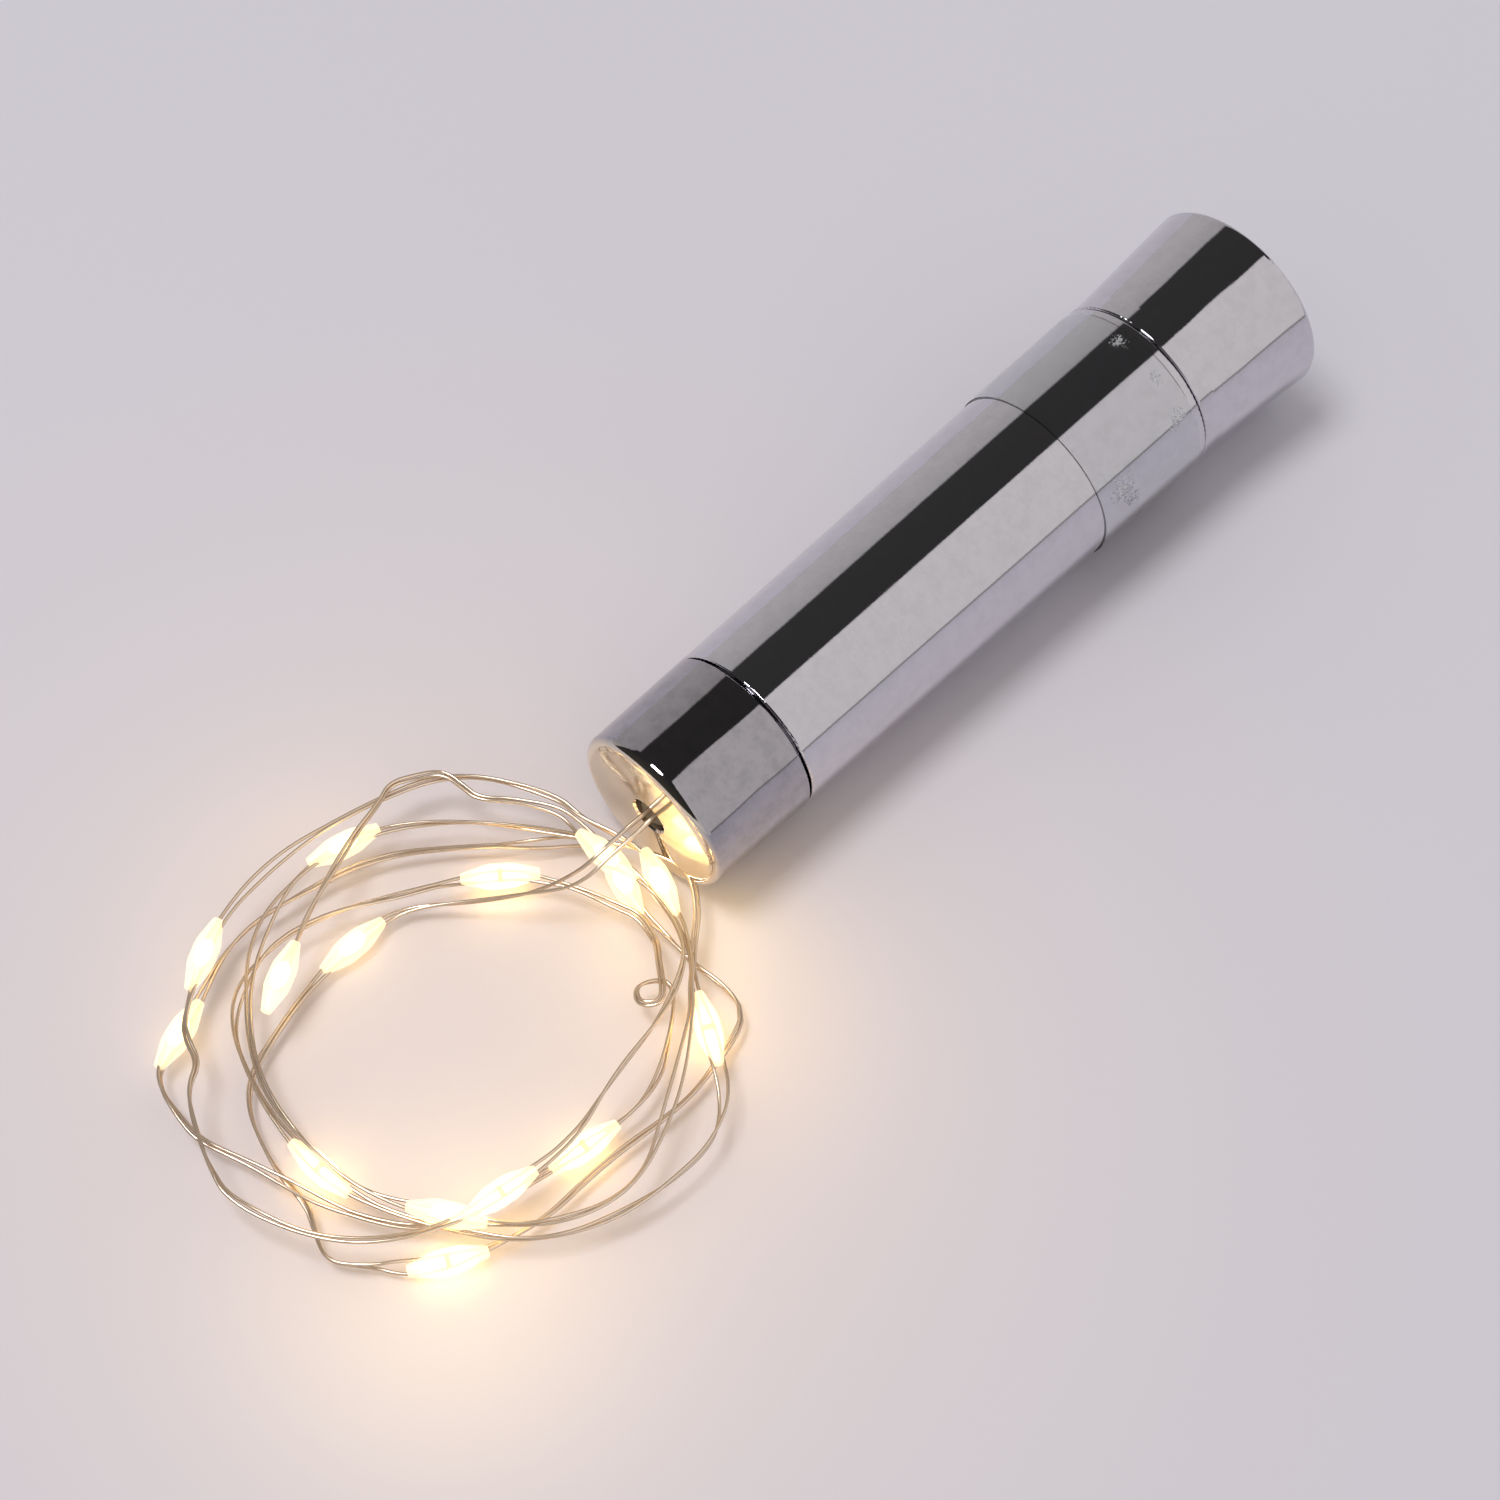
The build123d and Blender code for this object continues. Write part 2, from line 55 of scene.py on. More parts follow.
# Case, in millimetres: its diameters at the mouth and at the cap's end, its length, and its roundings there
MOUTH_DIAMETER = 17.3
CAP_END_DIAMETER = 20.66
CASE_LENGTH = 80.97
MOUTH_ROUNDING = 1.1
CAP_ROUNDING = 0.45

# Handling marks: detail and roughness of their noise, and the part of it that shows
MARKS_DETAIL = 6
MARKS_ROUGHNESS = 0.65
MARKS_FROM = 0.42
MARKS_WHOLE = 0.72

# Plating: scale and detail of its slow waves, and of its turning marks along and across the case
WAVE_SCALE = 150.0
WAVE_DETAIL = 1.0
GRAIN_SCALE = (3200, 600, 600)
GRAIN_DETAIL = 2.0
# Waves of the collar and cap against the barrel's, and height of the turning marks in metres
END_RIPPLE = 4.0
FINE_TEXTURE = 0.000004
# Scale of the handling marks on the plating, the turning marks' share in its wear, and its roughness
CHROME_MARKS = 700.0
GRAIN_WEAR = 0.5
CHROME_ROUGHNESS = (0.03, 0.08)
# Tone of the plating where it is clean and where it is handled
CLEAN_TONE = 1.04
WORN_TONE = 0.95
COLLAR_WORN_TONE = 0.84
# Face round the hole: how dull it is, and the share of the mouth's rounding over which it begins
FACE_ROUGHNESS = 0.1
FACE_EDGE = 0.6

# Label film: its refraction, its roughness when clear and in a bubble, and the speckle of the bubbles
FILM_REFRACTION = 1.45
FILM_ROUGHNESS = (0.02, 0.55)
SPECKLE_SCALE = 3600.0
SPECKLE_DETAIL = 4.0
# What a bubble adds to the speckle at its middle and its edge, and the sums at which it begins and is whole
BUBBLE_MIDDLE = 0.1
BUBBLE_EDGE = -0.5
BUBBLE_FROM = 0.5
BUBBLE_WHOLE = 0.56
# Painted glow that makes the bubbles look pale, and their height in millimetres
BUBBLE_GLOW = 0.06
BUBBLE_HEIGHT = 0.02
# Bubbles and lifted spots under the label film: place on the barrel and size, in millimetres
FILM_MARKS = (
    ((14.1, -8.6, 13.3), 3.6),
    ((15.0, -9.1, 11.6), 2.4),
    ((22.5, -7.6, 15.6), 2.8),
    ((22.7, -4.3, 18.3), 2.0),
    ((22.9, 0.7, 19.4), 2.4),
)

# Floor: half its side in metres, its roughness and its shine
FLOOR_SIZE = 3.0
FLOOR_ROUGHNESS = 0.7
FLOOR_SHINE = 0.2
# Room that the case mirrors: angle from straight up towards the far side, in degrees, and brightness
CARDS = (
    (-180, 0.60), (-91.5, 0.60), (-91, 0.30), (-88.5, 0.30), (-88, 0.70), (-10, 0.72), (-8.5, 0.036),
    (44, 0.040), (46, 0.43), (70, 0.50), (180, 0.60),
)
CARD_TINT = (1.025, 0.985, 0.965)
FILL_TINT = (1.0, 0.99, 1.01)
# Middle of its dark sector, and how the sector widens towards the wire's end: from where to where, and the
# share to which angles from the middle shrink
DARK_MIDDLE = radians(18)
FLARE_FROM = -0.5
FLARE_TO = 0.15
FLARE_SHRINK = 0.3
# Key light: place and size, in metres
KEY_PLACE = (-0.6, 0.63, 2.7)
KEY_SIZE = 1.05
# Camera: width of its sensor in millimetres, and the nearest that it sees in metres
SENSOR_WIDTH = 36.0
NEAREST_SEEN = 0.01
# Warm haze of the string: place from the middle of the turns in millimetres, size in metres, share of the
# power, and colour
HAZES = (
    ("string_haze", (-1, -6, 45), 0.08, 1.0, (1.0, 0.52, 0.03)),
    ("edge_haze", (-19, -20, 16), 0.024, 0.25, (1.0, 0.72, 0.3)),
    ("side_haze", (17, -20, 13), 0.02, 0.08, (1.0, 0.62, 0.15)),
    ("mouth_haze", (22, -8.5, 9), 0.012, 0.115, (1.0, 0.70, 0.22)),
    ("back_haze", (0, 19, 13), 0.02, 0.07, (1.0, 0.62, 0.15)),
)

# The case lies on its collar and on the flared rim, so its axis climbs a little
lean = atan2((CAP_END_DIAMETER - MOUTH_DIAMETER) / 2, CASE_LENGTH - CAP_ROUNDING - MOUTH_ROUNDING)
mouth_height = MOUTH_DIAMETER / 2 * cos(lean) - MOUTH_ROUNDING * sin(lean)
mouth = Vector((-CASE_LENGTH * cos(lean) / 2, 0, mouth_height))
along = Vector((cos(lean), 0, sin(lean)))

# Light string, in millimetres: where the wire begins inside the mouth, and the coil's centre from it
WIRE_INSIDE = 2.9
COIL_REACH = 24.5
COIL_SIDE = 1.3
# Way of the lead, from the hole down to the first turn: forward, sideways, above the floor
LEAD_ROUTE = ((4.6, 0.1, 8.5), (8.2, 0.5, 7.0), (10.8, 2.8, 5.0), (14.6, 6.8, 2.8))
# Reach of each loose turn from the coil's centre, at sixteen places from the mouth round by the far side
PLACES = 16
FIRST_PLACE = 3
FIRST_REACH = (11.6, 11.0, 11.9, 14.1, 19.4, 20.8, 25.3, 24.2, 22.2, 20.1, 23.0, 26.0, 20.9)
TURN_REACH = (
    (20.9, 18.6, 16.9, 17.4, 18.1, 21.0, 22.6, 25.0, 21.3, 20.7, 20.8, 18.2, 18.0, 20.2, 20.2, 19.8),
    (17.3, 15.3, 13.4, 12.9, 14.8, 17.8, 19.3, 18.0, 17.8, 18.9, 20.2, 23.6, 25.5, 27.6, 22.9, 24.0),
    (23.8, 20.4, 19.8, 20.2, 20.0, 18.8, 17.5, 17.2, 16.9, 18.0, 18.8, 22.0, 24.1, 21.8, 21.8, 22.7),
    (23.8, 24.2, 25.1, 22.7, 22.4, 22.8, 22.9, 23.4, 24.9, 23.3, 20.5, 17.4, 16.6, 16.0, 19.2, 22.4),
    (21.4,),
)
# Places where the wire bends more sharply, as turns and reach: a kink near the second light, a bulge
# beside the eighth, the crossing at the far left, the bunch in front of the mouth, and the dip near the end
BENDS = (
    (0.535, 21.8), (0.547, 23.4), (0.580, 25.4),
    (0.849, 25.3), (0.868, 26.6), (0.882, 26.4), (0.895, 24.9), (0.910, 22.8),
    (0.959, 20.3), (0.988, 20.7), (1.016, 21.9), (1.032, 21.5),
    (1.392, 24.5), (1.408, 26.2), (1.422, 26.2), (1.457, 24.8), (1.484, 22.5),
    (1.959, 20.0), (1.975, 18.8), (1.991, 18.0), (2.017, 17.0), (2.040, 16.1),
    (2.892, 22.6), (2.913, 22.8), (2.943, 24.9), (2.958, 25.9), (2.973, 26.4),
    (3.897, 22.3), (3.912, 22.9), (3.951, 23.1), (3.972, 23.5), (3.992, 24.3), (4.018, 23.9),
    (4.040, 23.6),
    (4.390, 23.0), (4.407, 22.1), (4.422, 23.4), (4.457, 24.2), (4.473, 24.7),
    (4.913, 22.3), (4.966, 22.5), (4.985, 22.3), (5.009, 21.6), (5.026, 22.1), (5.037, 22.6),
    (5.055, 23.4), (5.085, 23.0), (5.108, 22.5), (5.119, 23.8), (5.131, 25.3), (5.148, 25.0),
    (5.163, 24.7), (5.172, 23.0), (5.195, 20.7), (5.227, 18.1), (5.257, 16.7), (5.292, 15.6),
)
# The small loop below the bunch: where its points come in the wire's order, the step between them,
# then turns, reach and lift of each
LOOP_AT = 1.9
LOOP_STEP = 0.001
LOOP = (
    (1.9025, 20.7, 0.0), (1.9025, 17.3, 0.25), (1.881, 17.3, 0.6),
    (1.881, 19.8, 0.9), (1.915, 19.8, 0.7), (1.930, 20.2, 0.3),
)
# Where the wire ends, as turns and reach
TAIL_TURN = 5.345
TAIL_REACH = 15.4
# Height of the first turn, rise of each turn over the one before, and the turns before the rise begins
FIRST_HEIGHT = 1.45
TURN_RISE = 0.8
FLAT_TURN = 0.5
# Higher turns lie a little further to one side: shift for each millimetre of height, and its direction
PILE_SLIDE = 0.56
PILE_SLIDE_ANGLE = radians(225)
# Where the lights sit on the coil, counted in turns, and how far before the wire's end the last one sits
BEAD_TURNS = (
    0.265, 0.629, 0.986, 1.389, 1.743, 2.072, 2.531, 2.858, 3.212, 3.629, 3.963, 4.339, 4.668, 4.999,
)
TAIL_REST = 1.0
# How finely the wire's line is read, and how round its strands are
ROUTE_STEPS = 16
STRAND_ROUND = 2
# How the two strands wind about each other: size, run in millimetres, start
WINDING = ((1.0, 4.1, 0.0), (0.9, 7.3, 1.0))
# How much wider the strands lie at a light and at the hole, and the runs over which they close again
LIGHT_SPREAD = 1.6
LIGHT_SPREAD_RUN = 6.0
HOLE_SPREAD = 1.3
HOLE_SPREAD_RUN = 14.0
# Places between the lights where the strands part: how far, the runs in millimetres, and how seldom
LOOSE_SPREAD = 1.4
LOOSE_RUNS = (9.7, 5.3)
LOOSE_FROM = 0.8
# How much thicker the strands' sleeves are at the hole
HOLE_SLEEVE = 0.7
# Lacquered wire: how soon it takes its painted edge shade, how metallic it is, scale of its marks,
# roughness
WIRE_BLEND = 0.72
WIRE_METALLIC = 0.7
WIRE_MARKS = 900.0
WIRE_ROUGHNESS = (0.12, 0.22)
# Lights whose chip looks down, so that the strands show over the lit core
CHIP_DOWN = (2, 5, 6, 7, 8, 13)
# Form of a drop: share of its half length that is straight, how far its ends narrow, its sides and rings
DROP_BODY = 0.3
DROP_TAPER = 0.6
DROP_SIDES = 24
DROP_RINGS = 18
# Lit core against the drop: half length with the chip up or down, half width, half height, and shift
# towards the lit side, with its sides and rings
CORE_UP = 0.19
CORE_DOWN = 0.32
CORE_WIDTH = 0.34
CORE_HEIGHT = 0.2
CORE_SHIFT = 0.16
CORE_SIDES = 16
CORE_RINGS = 12
# Chip, in millimetres: its size along, across and up, its rounded edges, and how far off the middle it sits
CHIP_SIZE = (0.5, 1.1, 0.45)
CHIP_BREAK = 0.05
CHIP_SHIFT = 0.3
# Places of the core and the chip among a drop's materials
CORE_MATERIAL = 1
CHIP_MATERIAL = 2
# Looks of the epoxy, the lit core and the chip's case
EPOXY_COLOUR = (1.0, 0.93, 0.76)
EPOXY_ROUGHNESS = 0.12
EPOXY_ALPHA = 0.5
EPOXY_GLOW = (1.0, 0.86, 0.52)
EPOXY_STRENGTH = 0.75
CORE_COLOUR = (1.0, 0.8, 0.5)
CHIP_COLOUR = (0.50, 0.36, 0.16)
CHIP_ROUGHNESS = 0.4
coil_centre = Vector((mouth.x - COIL_REACH, COIL_SIDE, 0))


class CaseSettings(PropertyGroup):
    """Finish of the chrome case and its clear film."""

    chrome_colour: FloatVectorProperty(
        name="Chrome", description="Colour of the plating", subtype="COLOR", size=3, min=0, max=1,
        default=(0.650, 0.640, 0.688),
    )
    # The collar's plating is a darker, warmer copy of the chrome: painted shade standing for its darker
    # reflection
    collar_shaded_colour: FloatVectorProperty(
        name="Collar", description="Colour of the collar's plating", subtype="COLOR", size=3, min=0, max=1,
        default=(0.450, 0.432, 0.465),
    )
    # Warm pale colour of the face round the hole: a painted reflection of the string's glow
    face_glow_colour: FloatVectorProperty(
        name="Face", description="Colour of the flat face round the hole", subtype="COLOR", size=3,
        min=0, max=1, default=(0.86, 0.77, 0.63),
    )
    ripple: FloatProperty(
        name="Ripple", description="Height of the plating's faint waves", unit="LENGTH", min=0,
        default=0.00002,
    )
    film_colour: FloatVectorProperty(
        name="Film", description="Tint of the clear label film", subtype="COLOR", size=3, min=0, max=1,
        default=(0.955, 0.96, 0.965),
    )


class StringSettings(PropertyGroup):
    """Sizes and colours of the light string."""

    strand: FloatProperty(
        name="Strand", description="Diameter of one strand", unit="LENGTH", min=0.0001, default=0.00033,
    )
    pair: FloatProperty(
        name="Pair", description="Distance between the two strands", unit="LENGTH", min=0.0001,
        default=0.00037,
    )
    wire_colour: FloatVectorProperty(
        name="Wire", description="Colour of the lacquered wire", subtype="COLOR", size=3, min=0, max=1,
        default=(1.0, 0.89, 0.75),
    )
    # Darker colour towards the wire's sides: painted shade
    wire_edge_shade: FloatVectorProperty(
        name="Wire edge", description="Colour of the wire towards its sides", subtype="COLOR", size=3,
        min=0, max=1, default=(0.36, 0.20, 0.09),
    )
    bead_length: FloatProperty(
        name="Drop length", description="Length of an epoxy drop", unit="LENGTH", min=0.001, default=0.0074,
    )
    bead_diameter: FloatProperty(
        name="Drop diameter", description="Diameter of an epoxy drop", unit="LENGTH", min=0.0005,
        default=0.0024,
    )
    glow_colour: FloatVectorProperty(
        name="Glow", description="Colour of the lit chip", subtype="COLOR", size=3, min=0, max=1,
        default=(1.0, 0.70, 0.27),
    )
    glow_up: FloatProperty(
        name="Glow upwards", description="Brightness of a core whose chip looks up", min=0, default=5.0,
    )
    glow_down: FloatProperty(
        name="Glow downwards", description="Brightness of a core whose chip looks down", min=0, default=9.0,
    )


class StageSettings(PropertyGroup):
    """Floor, light and camera."""

    floor_colour: FloatVectorProperty(
        name="Floor", description="Colour of the floor", subtype="COLOR", size=3, min=0, max=1,
        default=(0.712, 0.683, 0.735),
    )
    camera_place: FloatVectorProperty(
        name="Camera", description="Where the camera stands", subtype="TRANSLATION", unit="LENGTH", size=3,
        default=(-0.1543, -0.1257, 0.3104),
    )
    camera_target: FloatVectorProperty(
        name="Target", description="What the camera looks at", subtype="TRANSLATION", unit="LENGTH", size=3,
        default=(-0.0254, 0.0019, 0.0),
    )
    lens: FloatProperty(name="Lens", description="Focal length", unit="CAMERA", min=1, default=91.2)
    key_power: FloatProperty(
        name="Key light", description="Power of the key light", unit="POWER", min=0, default=32.0,
    )
    fill: FloatProperty(name="Fill", description="Strength of the room's light", min=0, default=0.49)
    warmth: FloatProperty(
        name="Warm haze", description="Power of the string's soft glow on the floor", unit="POWER", min=0,
        default=0.0062,
    )


def new_material(name):
    """Material with a Principled shader, as (material, nodes, links, shader)."""
    material = bpy.data.materials.new(name)
    material.use_nodes = True
    nodes = material.node_tree.nodes
    return material, nodes, material.node_tree.links, nodes["Principled BSDF"]


def dress(names, material):
    """Give the named solids a material."""
    for name in names:
        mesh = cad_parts[name].data
        mesh.materials.clear()
        mesh.materials.append(material)


def new_piece(name, mesh, body, replaced, materials):
    """Object for a finished mesh that rides on a body and stands for the named solids."""
    piece = bpy.data.objects.new(name, mesh)
    bpy.context.scene.collection.objects.link(piece)
    for material in materials:
        mesh.materials.append(material)
    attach(piece, body)
    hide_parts(*replaced)
    return piece


def smudge_group():
    """Faint handling marks on Object coordinates: a mask from 0 to 1."""
    known = bpy.data.node_groups.get("handling_marks")
    if known:
        return known
    group = bpy.data.node_groups.new("handling_marks", "ShaderNodeTree")
    group.interface.new_socket("Scale", in_out="INPUT", socket_type="NodeSocketFloat")
    group.interface.new_socket("Mask", in_out="OUTPUT", socket_type="NodeSocketFloat")
    nodes, links = group.nodes, group.links
    inside = nodes.new("NodeGroupInput")
    outside = nodes.new("NodeGroupOutput")
    place = nodes.new("ShaderNodeTexCoord")
    noise = nodes.new("ShaderNodeTexNoise")
    noise.inputs["Detail"].default_value = MARKS_DETAIL
    noise.inputs["Roughness"].default_value = MARKS_ROUGHNESS
    spread = nodes.new("ShaderNodeMapRange")
    spread.inputs["From Min"].default_value = MARKS_FROM
    spread.inputs["From Max"].default_value = MARKS_WHOLE
    links.new(place.outputs["Object"], noise.inputs["Vector"])
    links.new(inside.outputs["Scale"], noise.inputs["Scale"])
    links.new(noise.outputs["Fac"], spread.inputs["Value"])
    links.new(spread.outputs["Result"], outside.inputs["Mask"])
    return group


def add_marks(nodes, scale):
    """The handling marks, placed in a material."""
    marks = nodes.new("ShaderNodeGroup")
    marks.node_tree = smudge_group()
    marks.inputs["Scale"].default_value = scale
    return marks.outputs["Mask"]


def add_range(nodes, links, source, low, high):
    """Map a mask from 0 to 1 onto a range."""
    spread = nodes.new("ShaderNodeMapRange")
    spread.inputs["To Min"].default_value = low
    spread.inputs["To Max"].default_value = high
    links.new(source, spread.inputs["Value"])
    return spread.outputs["Result"]


class BOTTLE_LIGHT_OT_chrome_case(Operator):
    """Mirror chrome on the collar, barrel and cap"""

    bl_idname = "bottle_light.chrome_case"
    bl_label = "Chrome case"

    def execute(self, context):
        settings = context.scene.bottle_case
        finishes = (
            ("barrel", settings.chrome_colour, settings.ripple, WORN_TONE),
            ("flared_cap", settings.chrome_colour, settings.ripple * END_RIPPLE, WORN_TONE),
            # the collar takes the darker copy of the chrome colour: painted shade
            ("end_collar", settings.collar_shaded_colour, settings.ripple * END_RIPPLE, COLLAR_WORN_TONE),
        )
        for solid, colour, ripple, worn_tone in finishes:
            dress((solid,), self.plating(f"{solid}_chrome", settings, colour, ripple, worn_tone))
        return {"FINISHED"}

    def plating(self, name, settings, colour, ripple, worn_tone):
        """Mirror plating with slow waves, fine turning marks and faint handling marks."""
        chrome, nodes, links, shader = new_material(name)
        shader.inputs["Metallic"].default_value = 1.0
        place = nodes.new("ShaderNodeTexCoord")
        waves = nodes.new("ShaderNodeTexNoise")
        waves.inputs["Scale"].default_value = WAVE_SCALE
        waves.inputs["Detail"].default_value = WAVE_DETAIL
        slow = nodes.new("ShaderNodeBump")
        slow.inputs["Distance"].default_value = ripple
        stretch = nodes.new("ShaderNodeMapping")
        stretch.inputs["Scale"].default_value = GRAIN_SCALE
        grain = nodes.new("ShaderNodeTexNoise")
        grain.inputs["Scale"].default_value = 1.0
        grain.inputs["Detail"].default_value = GRAIN_DETAIL
        fine = nodes.new("ShaderNodeBump")
        fine.inputs["Distance"].default_value = FINE_TEXTURE
        links.new(place.outputs["Object"], waves.inputs["Vector"])
        links.new(waves.outputs["Fac"], slow.inputs["Height"])
        links.new(place.outputs["Object"], stretch.inputs["Vector"])
        links.new(stretch.outputs["Vector"], grain.inputs["Vector"])
        links.new(grain.outputs["Fac"], fine.inputs["Height"])
        links.new(slow.outputs["Normal"], fine.inputs["Normal"])
        links.new(fine.outputs["Normal"], shader.inputs["Normal"])
        marks = add_marks(nodes, CHROME_MARKS)
        worn = nodes.new("ShaderNodeMath")
        worn.operation = "MULTIPLY_ADD"
        worn.inputs[1].default_value = GRAIN_WEAR
        links.new(grain.outputs["Fac"], worn.inputs[0])
        links.new(marks, worn.inputs[2])
        tint = nodes.new("ShaderNodeMix")
        tint.data_type = "RGBA"
        tint.inputs["A"].default_value = (*(part * CLEAN_TONE for part in colour), 1)
        tint.inputs["B"].default_value = (*(part * worn_tone for part in colour), 1)
        links.new(worn.outputs["Value"], tint.inputs["Factor"])
        # the flat face round the wire hole is duller than the sides, and its warm pale colour is a painted
        # reflection of the string's glow
        parts = nodes.new("ShaderNodeSeparateXYZ")
        links.new(place.outputs["Object"], parts.inputs["Vector"])
        face = nodes.new("ShaderNodeMapRange")
        face.inputs["From Min"].default_value = (mouth.x + MOUTH_ROUNDING * FACE_EDGE) * MM
        face.inputs["From Max"].default_value = mouth.x * MM
        links.new(parts.outputs["X"], face.inputs["Value"])
        painted_glow = nodes.new("ShaderNodeMix")
        painted_glow.data_type = "RGBA"
        painted_glow.inputs["B"].default_value = (*settings.face_glow_colour, 1)
        links.new(face.outputs["Result"], painted_glow.inputs["Factor"])
        links.new(tint.outputs["Result"], painted_glow.inputs["A"])
        links.new(painted_glow.outputs["Result"], shader.inputs["Base Color"])
        rough = nodes.new("ShaderNodeMath")
        rough.operation = "MAXIMUM"
        links.new(add_range(nodes, links, marks, *CHROME_ROUGHNESS), rough.inputs[0])
        links.new(add_range(nodes, links, face.outputs["Result"], 0.0, FACE_ROUGHNESS), rough.inputs[1])
        links.new(rough.outputs["Value"], shader.inputs["Roughness"])
        return chrome


class BOTTLE_LIGHT_OT_label_film(Operator):
    """Clear film of the bare label, with a few bubbles under it"""

    bl_idname = "bottle_light.label_film"
    bl_label = "Label film"

    def execute(self, context):
        settings = context.scene.bottle_case
        film, nodes, links, shader = new_material("clear_film")
        shader.inputs["Base Color"].default_value = (*settings.film_colour, 1)
        shader.inputs["IOR"].default_value = FILM_REFRACTION
        shader.inputs["Transmission Weight"].default_value = 1.0
        place = nodes.new("ShaderNodeTexCoord")
        speckle = nodes.new("ShaderNodeTexNoise")
        speckle.inputs["Scale"].default_value = SPECKLE_SCALE
        speckle.inputs["Detail"].default_value = SPECKLE_DETAIL
        links.new(place.outputs["Object"], speckle.inputs["Vector"])
        near = None
        for spot, size in FILM_MARKS:
            gap = nodes.new("ShaderNodeVectorMath")
            gap.operation = "DISTANCE"
            gap.inputs[1].default_value = Vector(spot) * MM
            links.new(place.outputs["Object"], gap.inputs[0])
            fade = nodes.new("ShaderNodeMapRange")
            fade.inputs["From Max"].default_value = size * MM
            fade.inputs["To Min"].default_value = BUBBLE_MIDDLE
            fade.inputs["To Max"].default_value = BUBBLE_EDGE
            links.new(gap.outputs["Value"], fade.inputs["Value"])
            if near is None:
                near = fade.outputs["Result"]
                continue
            larger = nodes.new("ShaderNodeMath")
            larger.operation = "MAXIMUM"
            links.new(near, larger.inputs[0])
            links.new(fade.outputs["Result"], larger.inputs[1])
            near = larger.outputs["Value"]
        broken = nodes.new("ShaderNodeMath")
        broken.operation = "ADD"
        links.new(near, broken.inputs[0])
        links.new(speckle.outputs["Fac"], broken.inputs[1])
        patch = nodes.new("ShaderNodeMapRange")
        patch.inputs["From Min"].default_value = BUBBLE_FROM
        patch.inputs["From Max"].default_value = BUBBLE_WHOLE
        links.new(broken.outputs["Value"], patch.inputs["Value"])
        dull = add_range(nodes, links, patch.outputs["Result"], *FILM_ROUGHNESS)
        links.new(dull, shader.inputs["Roughness"])
        # the bubbles glow faintly in the film's colour: a painted glow that makes them look pale
        shader.inputs["Emission Color"].default_value = (*settings.film_colour, 1)
        painted_glow = add_range(nodes, links, patch.outputs["Result"], 0.0, BUBBLE_GLOW)
        links.new(painted_glow, shader.inputs["Emission Strength"])
        bump = nodes.new("ShaderNodeBump")
        bump.inputs["Distance"].default_value = BUBBLE_HEIGHT * MM
        links.new(patch.outputs["Result"], bump.inputs["Height"])
        links.new(bump.outputs["Normal"], shader.inputs["Normal"])
        dress(("rating_label",), film)
        return {"FINISHED"}


class BOTTLE_LIGHT_OT_inner_works(Operator):
    """Finishes of the pieces inside the case"""

    bl_idname = "bottle_light.inner_works"
    bl_label = "Inner works"

    def execute(self, context):
        # name, solids, colour, metallic, least and most roughness, scale of the handling marks
        finishes = (
            ("moulded_white", ("battery_holder",), (0.80, 0.80, 0.77), 0.0, 0.4, 0.6, 300.0),
            ("moulded_black", ("cap_liner",), (0.025, 0.025, 0.028), 0.0, 0.35, 0.55, 300.0),
            ("stamped_brass", ("contact_ring", "side_strip", "base_contact", "cap_contact"),
             (0.72, 0.56, 0.28), 1.0, 0.18, 0.4, 500.0),
            ("spring_wire", ("contact_spring",), (0.60, 0.60, 0.60), 1.0, 0.2, 0.35, 700.0),
            ("nickel_can", ("cell_1", "cell_2", "cell_3"), (0.66, 0.65, 0.62), 1.0, 0.15, 0.35, 300.0),
            ("solder_mask", ("driver_board",), (0.02, 0.12, 0.04), 0.0, 0.2, 0.35, 400.0),
            ("lacquered_body", ("resistor",), (0.56, 0.42, 0.24), 0.0, 0.25, 0.4, 400.0),
            ("red_sleeve", ("lead_plus",), (0.42, 0.02, 0.015), 0.0, 0.35, 0.5, 400.0),
            ("black_sleeve", ("lead_minus",), (0.015, 0.015, 0.015), 0.0, 0.35, 0.5, 400.0),
            ("cloudy_glue", ("glue_plug",), (0.78, 0.74, 0.62), 0.0, 0.3, 0.6, 250.0),
        )
        for name, solids, colour, metallic, smooth, rough, scale in finishes:
            material, nodes, links, shader = new_material(name)
            shader.inputs["Base Color"].default_value = (*colour, 1)
            shader.inputs["Metallic"].default_value = metallic
            spread = add_range(nodes, links, add_marks(nodes, scale), smooth, rough)
            links.new(spread, shader.inputs["Roughness"])
            dress(solids, material)
        return {"FINISHED"}


def coil_point(turns, reach):
    """Point of the coil: each turn lies over the one before, and the pile has slid a little to one side."""
    angle = tau * turns
    climb = TURN_RISE * max(0, turns - FLAT_TURN)
    slide = Vector((cos(PILE_SLIDE_ANGLE), sin(PILE_SLIDE_ANGLE), 0)) * (PILE_SLIDE * climb)
    return coil_centre + slide + Vector((reach * cos(angle), reach * sin(angle), FIRST_HEIGHT + climb))


def route_points():
    """Control points of the wire, in metres: the lead, then the loose turns."""
    points = [mouth + along * WIRE_INSIDE]
    for forward, sideways, height in LEAD_ROUTE:
        points.append(Vector((mouth.x - forward, sideways, height)))
    # a spline through control points as far apart as the places runs inside them
    inside = cos(pi / PLACES)
    stops = [(turns, coil_point(turns, reach)) for turns, reach in (*BENDS, (TAIL_TURN, TAIL_REACH))]
    for place, reach in enumerate(FIRST_REACH, start=FIRST_PLACE):
        stops.append((place / PLACES, coil_point(place / PLACES, reach / inside)))
    for turn, reaches in enumerate(TURN_REACH, start=1):
        for place, reach in enumerate(reaches, start=turn * PLACES):
            stops.append((place / PLACES, coil_point(place / PLACES, reach / inside)))
    for step, (turns, reach, lift) in enumerate(LOOP):
        stops.append((LOOP_AT + step * LOOP_STEP, coil_point(turns, reach) + Vector((0, 0, lift))))
    stops.sort(key=lambda stop: stop[0])
    points.extend(point for order, point in stops)
    return [point * MM for point in points]


